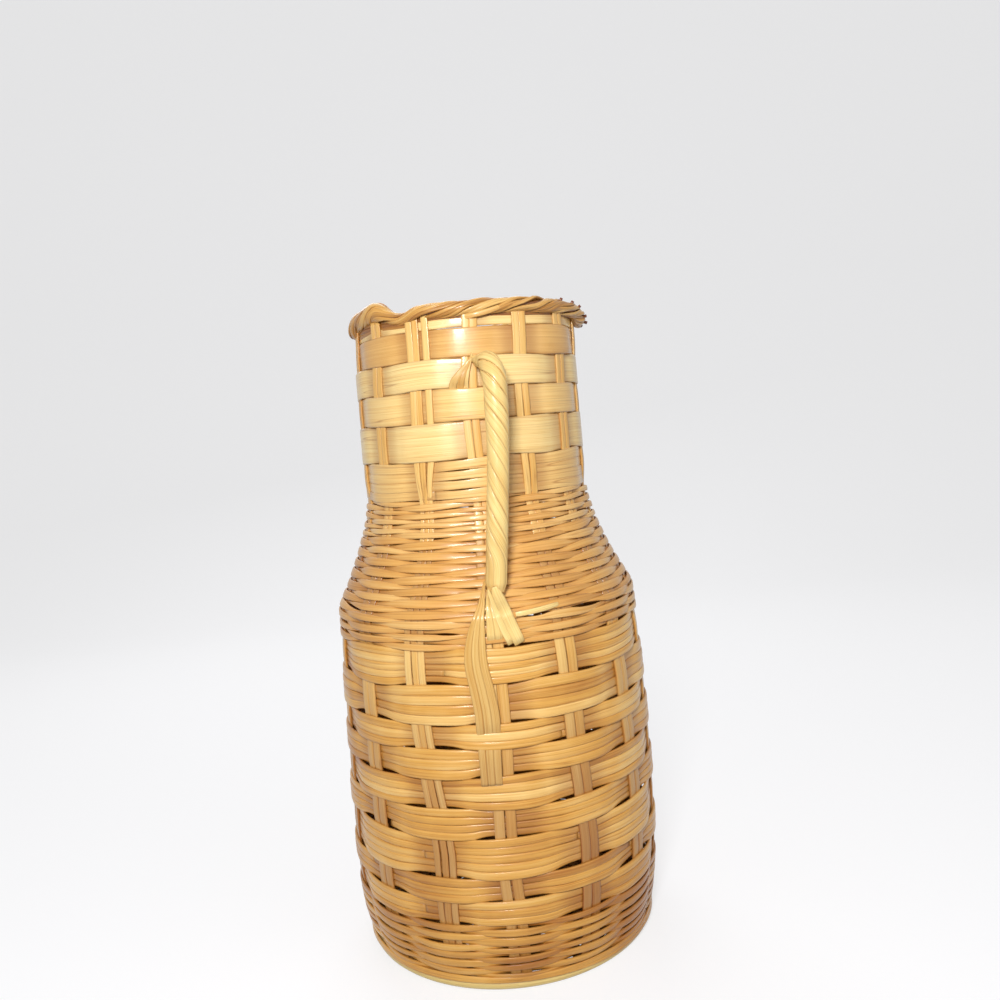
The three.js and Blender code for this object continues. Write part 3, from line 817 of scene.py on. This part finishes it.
def rope_reed(strand, place):
    """One reed of a strand, a helix round the rim's middle line: its angle in the twist grows by the turns
    times the angle round the rim. Where the rim swells, it is wider."""
    angle = np.linspace(0, 2 * np.pi, ROPE_POINTS, endpoint=False)
    share = angle / (2 * np.pi)
    number = REEDS_PER_STRAND * strand + place
    centre, twist_radius = rope_line(angle)
    phase = strand * 2 * np.pi / ROPE_STRANDS + (place - (REEDS_PER_STRAND - 1) / 2) * REED_SPREAD
    loose = ripple("rope strand", strand, share)
    twist = ROPE_TURNS * angle + phase + loose + ripple("rope twist", number, share)
    outward = radial(angle) * np.cos(twist)[:, None] + UP * np.sin(twist)[:, None]
    path = centre + outward * (twist_radius + ripple("rope reed", number, share))[:, None]
    width = ROPE_REED_WIDTH + ROPE_REED_SWELL * np.clip(twist_radius - TWIST_RADIUS, 0, None)
    tone = rng.uniform(0, 1)
    return reed(path, outward, width, ROPE_REED_THICKNESS, closed=True, squareness=3.0, tone=tone)


def rope_core():
    """The ends of the stakes, bent over inside the twist: a round filling, painted dark as the shade inside
    the twist.
    """
    angle = np.linspace(0, 2 * np.pi, CORE_POINTS, endpoint=False)
    centre, twist_radius = rope_line(angle)
    size = 2 * twist_radius - ROPE_CORE_ROOM
    return reed(centre, radial(angle), size, size, closed=True, squareness=2.0, tone=1.0, darkening=0.5)


def rim_filling(place, height, end, tone):
    """A reed inside the wall's top, from the lip to an end angle, a little darker with painted shade."""
    angle = np.radians(np.linspace(FILLING_START, end, FILLING_POINTS))
    path, outward = on_wall(angle, height + ripple("rim filling", 3 * place, angle / 7), FILLING_DEPTH)
    return reed(path, outward, FILLING_WIDTH, FILLING_THICKNESS, squareness=3.0, tone=tone, darkening=0.15)


def rope_stub(degrees, reach, lift):
    """A reed's cut end that stands out of the rim, outwards by its reach and up by its lift, straight and a
    little to the side. It darkens towards its tip."""
    angle = np.full(STUB_POINTS, np.radians(degrees))
    start, twist_radius = rope_line(angle)
    share = np.linspace(0, 1, STUB_POINTS)[:, None]
    path = start + (radial(angle) * reach + UP * lift) * share
    path = path + unit(np.cross(UP, radial(angle))) * share * STUB_ASIDE
    facing = np.tile(UP, (STUB_POINTS, 1))
    dark = np.linspace(0.0, 0.9, STUB_POINTS)
    return reed(path, facing, STUB_WIDTH, STUB_THICKNESS, squareness=3.0, tone=0.8, darkening=dark)


rope = [rope_reed(strand, place) for strand in range(ROPE_STRANDS) for place in range(REEDS_PER_STRAND)]
rope.append(rope_core())
rope += [rim_filling(place, *filling) for place, filling in enumerate(FILLINGS)]
rope += [rope_stub(*stub) for stub in STUBS]


# The foot and the floor. Spokes cross right under the basket, each a pair of flat reeds a little apart, and
# ride over each other in the middle. Round reeds are woven over and under them.
SPOKE_HEIGHT = 7.7
SPOKE_REACH = FOOT_RADIUS - WALL_DEPTH - 1
SPOKE_WIDTH = 5.6
SPOKE_THICKNESS = 1.9
SPOKE_APART = 3.0
SPOKE_LIFT = 0.8
CROSSING_SIZE = 24
FLOOR_RINGS = 18
FIRST_RING = 26
LAST_RING = HOOP_RADIUS - 1.5
RING_SWING = 1.6
RING_WIDTH = 6.3
RING_THICKNESS = 2.8


def foot_hoop():
    """A round cane bent to a ring."""
    angle = np.linspace(0, 2 * np.pi, HOOP_POINTS, endpoint=False)
    path = radial(angle) * HOOP_RADIUS + UP * HOOP_THICKNESS / 2
    size = HOOP_THICKNESS
    return reed(path, radial(angle), size, size, closed=True, squareness=2.0, corners=16, tone=0.2)


def spoke_reeds(spoke):
    """Two flat reeds right across the floor. In the middle each spoke is lifted by its place in the pile
    times a bell curve."""
    along = np.linspace(-SPOKE_REACH, SPOKE_REACH, SPOKE_POINTS)
    facing = np.tile(UP, (SPOKE_POINTS, 1))
    angle = FIRST_STAKE + spoke * 2 * np.pi / STAKES
    lift = (spoke - 3) * SPOKE_LIFT * np.exp(-((along / CROSSING_SIZE) ** 2))
    sideways = np.array([np.cos(angle), np.sin(angle), 0])
    made = []
    for side in (-1, 1):
        path = radial(np.full(SPOKE_POINTS, angle)) * along[:, None]
        path = path + sideways * SPOKE_APART * side + UP * (SPOKE_HEIGHT + lift)[:, None]
        tone = rng.uniform(0, 1)
        made.append(reed(path, facing, SPOKE_WIDTH, SPOKE_THICKNESS, squareness=3.5, tone=tone))
    return made


def floor_rings():
    """Reeds woven round over and under the spokes, close together from the middle out to the hoop."""
    facing = np.tile(UP, (len(ROUND), 1))
    made = []
    for place, radius in enumerate(np.linspace(FIRST_RING, LAST_RING, FLOOR_RINGS)):
        wave = over_under(place % 2 == 0)
        path = radial(ROUND) * radius + UP * (SPOKE_HEIGHT + RING_SWING * wave)[:, None]
        made.append(reed(path, facing, RING_WIDTH, RING_THICKNESS, closed=True, tone=rng.uniform(0, 1)))
    return made


wicker("foot_cane_ring", [foot_hoop()], foot_cane, ["foot_hoop"])
spokes = [made for spoke in range(STAKES // 2) for made in spoke_reeds(spoke)]
wicker("floor_spoke_reeds", spokes, floor_reed, ["base_spokes"])
wicker("floor_weave_reeds", floor_rings(), floor_reed, ["base_weave"])


# The handle, in the frame of the front stake: across, out and up. Its places have their height as a share
# from the grip's foot to the root.
FINGER_ROOM = 18.6
HALF_GRIP = 7.75
GRIP_OUT = NECK_RADIUS + FINGER_ROOM + HALF_GRIP
ROOT_INSIDE = 1.9
ROOT_OUT = MOUTH_RADIUS - ROOT_INSIDE
ROOT_HEIGHT = 431.8
GRIP_FOOT = 279.8
ROOT_ACROSS = 3.0
GRIP_TOP_ACROSS = 15.0
GRIP_FOOT_ACROSS = 4.3
HANDLE_PLACES = [
    (ROOT_ACROSS, ROOT_OUT, 1.045),
    (ROOT_ACROSS + 0.5, ROOT_OUT + 3, 1.035),
    (ROOT_ACROSS * 2.5, ROOT_OUT + 10, 1.015),
    (GRIP_TOP_ACROSS * 0.81, ROOT_OUT * 0.3 + GRIP_OUT * 0.7, 1.006),
    (GRIP_TOP_ACROSS, GRIP_OUT * 0.99, 0.935),
    (GRIP_TOP_ACROSS, GRIP_OUT, 0.82),
    (GRIP_TOP_ACROSS * 0.9, GRIP_OUT, 0.61),
    (GRIP_TOP_ACROSS * 0.69, GRIP_OUT, 0.385),
    ((GRIP_TOP_ACROSS + GRIP_FOOT_ACROSS) * 0.35, GRIP_OUT, 0.147),
    (GRIP_FOOT_ACROSS, GRIP_OUT, 0.0),
]

# Its radius over the bend, and how much and over what length it is less at the root, down the grip and at
# the foot. The core is thinner all along, so that it lies inside the binding.
BEND_RADIUS = 8.1
ROOT_TAPER = 7.1
ROOT_TAPER_LENGTH = 34
GRIP_THINNER = 0.65
GRIP_THINS_FROM = 55
GRIP_THINS_OVER = 30
FOOT_TAPER = 1.6
FOOT_TAPER_LENGTH = 7
CORE_THINNER = 2
THINNEST_CORE = 0.8

# Its binding: how many reeds, the length of one turn at the root and how much it grows over what length, how
# long the reeds run straight at the foot, and over what length they unwind to that.
HANDLE_REEDS = 5
ROOT_LEAD = 40
LEAD_GROWTH = 32
LEAD_GROWS_OVER = 110
STRAIGHT_END = 12
UNWINDS_OVER = 18
FIRST_TURN = 0.35
BINDING_THICKNESS = 1.6


def at_front(across, out, height):
    """A point at the front stake: across it, out from the axis, and up."""
    side = np.array([np.cos(FIRST_STAKE), np.sin(FIRST_STAKE), 0.0])
    away = np.array([np.sin(FIRST_STAKE), -np.cos(FIRST_STAKE), 0.0])
    return side * across + away * out + UP * height


def handle_line(count):
    """The handle's middle line, the distance along it, the directions across it and to its back, and its
    radius: a point at the root, thickest over the bend, a little thinner down the grip."""
    height = ROOT_HEIGHT - GRIP_FOOT
    path = smooth_path([at_front(a, out, GRIP_FOOT + up * height) for a, out, up in HANDLE_PLACES], count)
    along = np.linspace(0, np.linalg.norm(np.diff(path, axis=0), axis=1).sum(), count)
    tangent = unit(np.gradient(path, axis=0))
    side = at_front(1.0, 0.0, 0.0)
    across = unit(side - tangent * (tangent @ side)[:, None])
    radius = BEND_RADIUS - ROOT_TAPER * np.clip(1 - along / ROOT_TAPER_LENGTH, 0, 1) ** 1.5
    radius = radius - GRIP_THINNER * smooth((along - GRIP_THINS_FROM) / GRIP_THINS_OVER)
    radius = radius - FOOT_TAPER * smooth((along - along[-1] + FOOT_TAPER_LENGTH) / FOOT_TAPER_LENGTH)
    return path, along, across, np.cross(across, tangent), radius


def handle_binding():
    """Flat reeds that wind down the handle side by side: at a distance along it, each has turned by the sum
    of the steps over the lead, which grows down the grip, and they run straight for the last stretch. Each
    is crowned by its width squared over eight radii, so that it follows the core."""
    path, along, across, back, radius = handle_line(BINDING_POINTS)
    lead = ROOT_LEAD + LEAD_GROWTH * smooth(along / LEAD_GROWS_OVER)
    winding = smooth((along[-1] - along - STRAIGHT_END) / UNWINDS_OVER)
    turned = np.cumsum(np.gradient(along) * 2 * np.pi / lead * winding) + FIRST_TURN
    slope = np.arctan2(2 * np.pi * radius * winding, lead)
    made = []
    for strand in range(HANDLE_REEDS):
        angle = turned + strand * 2 * np.pi / HANDLE_REEDS
        outward = across * np.cos(angle)[:, None] + back * np.sin(angle)[:, None]
        width = 2 * np.pi * (radius - 0.5) / HANDLE_REEDS * np.cos(slope)
        crown = (width * np.cos(slope)) ** 2 / 8 / radius
        thickness = np.minimum(BINDING_THICKNESS, 0.8 * radius)
        line = path + outward * (radius - thickness / 2 - crown)[:, None]
        tone = rng.uniform(0.3, 0.6)
        made.append(reed(line, outward, width, thickness, squareness=4, crown=crown, tone=tone))
    return made


def front_reed(places, tone, thickness=1.5, darkening=0.0, squareness=3.5):
    """A flat reed in front of the wall. Its places are across the front stake, height, distance from the
    wall's outside and width, and smooth curves join them."""
    across, height, off, width = smooth_path(places, FRONT_POINTS).T
    out = wall_radius(height) + off
    angle = FIRST_STAKE + across / out
    path = radial(angle) * out[:, None] + UP * height[:, None]
    return reed(path, radial(angle), width, thickness, squareness=squareness, crown=0.3, tone=tone, darkening=darkening)


# The ends of the handle's reeds come from under a splint at the root, spread down to the left, and are tucked
# behind the next splint: for each, how far across its foot lies, its width and its tone.
ROOT_REEDS = [(-12.2, 5.4, 0.75), (-6.9, 5.4, 0.95), (-2.7, 3.0, 0.2)]
ROOT_TOP = ROOT_HEIGHT + 9
ROOT_FOOT = ROOT_HEIGHT - 12.5


def handle_core():
    """The round core of the handle, from inside the neck down to the shoulder, and its root's reeds."""
    path, along, across, back, radius = handle_line(HANDLE_CORE_POINTS)
    size = np.maximum(2 * radius - CORE_THINNER, THINNEST_CORE)
    made = [reed(path, back, size, size, squareness=2.0, corners=16, tone=0.5)]
    for foot, width, tone in ROOT_REEDS:
        places = [
            (ROOT_ACROSS - 0.5, ROOT_TOP, -1.0, 1.0),
            (ROOT_ACROSS - 1.0 + foot * 0.06, ROOT_TOP - 4, 1.4, 1.6),
            (foot * 0.5 + 0.6, ROOT_TOP - 12, 1.2, width * 0.75),
            (foot * 0.9, ROOT_FOOT + 3, 0.6, width * 0.95),
            (foot, ROOT_FOOT, -0.9, width),
            (foot * 1.05, ROOT_FOOT - 4, -2.4, width),
        ]
        made.append(front_reed(places, tone, darkening=0.15, squareness=5.0))
    return made


bound = [f"handle_strand_{strand + 1}" for strand in range(3)]
wicker("handle_binding_reeds", handle_binding(), handle_reed, bound)
wicker("handle_core_cane", handle_core(), handle_reed, ["handle_core"])

# The tails of the handle's reeds on the shoulder. The left one runs far down and is tucked under a body row,
# and the others spread to the right. Each place is as a front reed's, with the width of the whole tail.
LEFT_TAIL = [
    (-2.5, 286, 1.6, 2.0),
    (-4.1, 280, 1.4, 2.8),
    (-6.2, 271.5, 1.3, 4.8),
    (-8.9, 264, 1.2, 7.8),
    (-11.2, 254, 1.1, 11.5),
    (-12.9, 243, 1.0, 14.2),
    (-13.2, 232, 1.0, 15.6),
    (-10.8, 215, 1.0, 16.2),
    (-9.1, 201, 1.0, 16.4),
    (-8.8, 191, 0.6, 16.4),
    (-8.9, 181, -2.2, 15.6),
    (-9.4, 170, -0.3, 15.0),
    (-9.6, 150, -0.6, 14.5),
]
RIGHT_TAIL = [
    (3.0, 284.4, 16.6, 3.6),
    (4.2, 280, 14.2, 6.6),
    (6.0, 275, 10.4, 7.5),
    (8.9, 267, 3.8, 7.9),
    (12.4, 257, 1.5, 7.9),
    (15.9, 247.6, 1.0, 7.9),
    (17.2, 243.8, -2.0, 7.6),
]
MIDDLE_TAIL = [
    (-1.0, 282.4, 14.2, 1.4),
    (0.2, 278, 11.6, 2.6),
    (3.5, 265.4, 2.9, 3.9),
    (7.4, 253, 1.4, 4.4),
    (9.7, 247.5, 1.0, 4.2),
    (10.9, 243.8, -2.0, 4.0),
]
INNER_TAIL = [
    (-0.4, 283, 12.0, 2.0),
    (-0.8, 278, 7.0, 3.4),
    (-0.8, 271, 2.5, 5.4),
    (0.1, 263, 1.2, 8.0),
    (0.7, 256, 0.9, 9.8),
    (0.8, 251, 0.6, 10.6),
    (0.8, 246.5, -2.2, 10.6),
]

# The left tail gets browner towards its end, by the square of the share along it.
LEFT_TAIL_DARKENING = 0.35 * np.linspace(0, 1, FRONT_POINTS) ** 2

# Two reeds that have worked loose: one below the rim, which leaves the twist beside the front stake, and one
# at the shoulder's edge, which runs in under the right tail.
RIM_STRAY = [
    (-1, 465.4, -2.5, 4),
    (6, 466.2, 0.3, 4),
    (15, 467.8, 1.6, 4),
    (25, 470.5, 2.4, 3.4),
    (34, 474, 0, 2.6),
]
EDGE_STRAY = [
    (16, 263.4, 0.2, 3.4),
    (23, 264.0, 1.8, 3.8),
    (33, 264.8, 2.1, 3.8),
    (41, 265.4, 1.2, 3.6),
    (47, 265.6, -0.8, 3),
]


TAIL_FILL = 1.03


def tail(places, reeds, tone, darkening=0.0):
    """Reeds side by side that share a tail's width, each with its fill of its place."""
    made = []
    for place in range(reeds):
        side = (place - (reeds - 1) / 2) / reeds
        moved = [
            (across + side * width, height, off, TAIL_FILL * width / reeds)
            for across, height, off, width in places
        ]
        made.append(front_reed(moved, tone + rng.uniform(-0.1, 0.1), darkening=darkening, squareness=6.0))
    return made


left_tail = tail(LEFT_TAIL, 3, 0.85, LEFT_TAIL_DARKENING)
wicker("left_tail_reeds", left_tail, handle_reed, ["handle_tail_left"])
right_tails = tail(RIGHT_TAIL, 1, 0.35) + tail(MIDDLE_TAIL, 1, 0.45) + tail(INNER_TAIL, 2, 0.6)
right_tails.append(front_reed(EDGE_STRAY, 0.3, thickness=1.6))
wicker("right_tail_reeds", right_tails, handle_reed, ["handle_tail_right"])
rope.append(front_reed(RIM_STRAY, 0.1, thickness=1.8))
wicker("rim_rope", rope, rim_reed, ["rim_strand_1", "rim_strand_2"])


# The camera, where the photograph was taken from, turned a little about its line of sight. From here on
# lengths are in metres.
PHOTO_LENS = 32.4
EYE = np.array([0.0, -0.707, 0.386])
YAW, PITCH, ROLL = np.radians([1.45, 4.38, 4.84])


def photo_camera():
    """A camera at the eye. Its yaw and pitch give the line of sight, and its roll turns it about that."""
    forward = np.array([np.sin(YAW) * np.cos(PITCH), np.cos(YAW) * np.cos(PITCH), -np.sin(PITCH)])
    level = np.array([np.cos(YAW), -np.sin(YAW), 0.0])
    upright = np.array([np.sin(YAW) * np.sin(PITCH), np.cos(YAW) * np.sin(PITCH), np.cos(PITCH)])
    right = level * np.cos(ROLL) - upright * np.sin(ROLL)
    top = level * np.sin(ROLL) + upright * np.cos(ROLL)
    lens = bpy.data.cameras.new("photo_camera")
    lens.lens = PHOTO_LENS
    lens.sensor_width = 36.0
    lens.sensor_fit = "HORIZONTAL"
    lens.clip_start = 0.02
    camera = bpy.data.objects.new("photo_camera", lens)
    turn = np.eye(4)
    turn[:3, :4] = np.stack([right, top, -forward, EYE], -1)
    camera.matrix_world = Matrix(turn.tolist())
    bpy.context.scene.collection.objects.link(camera)
    bpy.context.scene.camera = camera


# The studio: a pale paper floor that sweeps up into a wall behind, three soft boxes, and a white surround.
# Paper and surround light the basket plainly, and are brighter in the rays that show the background.
SWEEP_HALF_WIDTH = 3.0
SWEEP_FRONT = -2.5
BEND_START = 1.2
BEND_SIZE = 0.8
SWEEP_TOP = 4.0
PAPER = "#A9A9AC"
PAPER_GLOW = 0.62
SURROUND_LIGHT = 0.33
SURROUND_GLOW = 0.47

# Each soft box has its place, its aim, its size and its power in watts.
SOFT_BOXES = {
    "key_by_the_camera": ((-0.12, -0.98, 0.68), (0, 0, 0.38), 0.2, 9.4),
    "fill_from_the_right": ((1.4, -1.0, 0.9), (0, 0, 0.25), 1.0, 2.8),
    "fill_from_behind": ((-0.2, 1.1, 1.2), (0, 0, 0.25), 1.0, 7.5),
}


def lamp(name, place, aim, size, power):
    """A square soft box of plain white light, turned to face its aim."""
    light = bpy.data.lights.new(name, "AREA")
    light.size = size
    light.energy = power
    made = bpy.data.objects.new(name, light)
    made.visible_camera = False
    way = unit(np.array(place) - np.array(aim))
    side = unit(np.cross(UP, way))
    turn = np.eye(4)
    turn[:3, :4] = np.stack([side, np.cross(way, side), way, np.array(place)], -1)
    made.matrix_world = Matrix(turn.tolist())
    bpy.context.scene.collection.objects.link(made)


def background_rays(tree):
    """1 for the rays that show the background: straight from the camera, and by gloss or through glass."""
    path = add(tree, "ShaderNodeLightPath")
    gloss = add(tree, "ShaderNodeMath", {"operation": "MAXIMUM"}, _0=path.outputs["Is Camera Ray"],
                _1=path.outputs["Is Glossy Ray"])
    return add(tree, "ShaderNodeMath", {"operation": "MAXIMUM"}, _0=gloss.outputs[0],
               _1=path.outputs["Is Transmission Ray"]).outputs[0]


def matt_paper():
    """Matt white paper, grey enough to keep the basket's shadow, which glows in the background."""
    paper = bpy.data.materials.new("matt_white_paper")
    paper.use_nodes = True
    tree = paper.node_tree
    skin = tree.nodes["Principled BSDF"]
    skin.inputs["Base Color"].default_value = linear(PAPER)
    skin.inputs["Roughness"].default_value = 0.9
    skin.inputs["Emission Color"].default_value = (1, 1, 1, 1)
    glow = add(tree, "ShaderNodeMath", {"operation": "MULTIPLY", 1: PAPER_GLOW}, _0=background_rays(tree))
    tree.links.new(glow.outputs[0], skin.inputs["Emission Strength"])
    return paper


def studio_sweep():
    """A sheet of paper: level from the front to its bend, a quarter of a circle, and then upright."""
    bend = np.linspace(0, np.pi / 2, 13)
    run = np.concatenate([[SWEEP_FRONT], BEND_START + BEND_SIZE * np.sin(bend), [BEND_START + BEND_SIZE]])
    rise = np.concatenate([[0.0], BEND_SIZE - BEND_SIZE * np.cos(bend), [SWEEP_TOP]])
    x, y = np.meshgrid(np.linspace(-SWEEP_HALF_WIDTH, SWEEP_HALF_WIDTH, 3), run, indexing="ij")
    points = np.stack([x, y, np.broadcast_to(rise, x.shape)], -1).reshape(-1, 3)
    rows, columns = x.shape
    start = (np.arange(rows - 1)[:, None] * columns + np.arange(columns - 1)).reshape(-1)
    faces = np.stack([start, start + columns, start + columns + 1, start + 1], -1)
    mesh = bpy.data.meshes.new("studio_sweep")
    mesh.from_pydata(points.tolist(), [], faces.tolist())
    mesh.polygons.foreach_set("use_smooth", np.ones(len(faces), bool))
    mesh.materials.append(matt_paper())
    sweep = bpy.data.objects.new("studio_sweep", mesh)
    bpy.context.scene.collection.objects.link(sweep)


def white_surround():
    """A white world. It lights plainly, and is brighter in the rays that show the background."""
    world = bpy.data.worlds.new("even_white")
    world.use_nodes = True
    tree = world.node_tree
    surround = tree.nodes["Background"]
    surround.inputs["Color"].default_value = (1, 1, 1, 1)
    strength = {"operation": "MULTIPLY_ADD", 1: SURROUND_GLOW, 2: SURROUND_LIGHT}
    level = add(tree, "ShaderNodeMath", strength, _0=background_rays(tree))
    tree.links.new(level.outputs[0], surround.inputs["Strength"])
    bpy.context.scene.world = world


photo_camera()
studio_sweep()
white_surround()
for name, box in SOFT_BOXES.items():
    lamp(name, *box)
bpy.context.scene.view_settings.view_transform = "Standard"
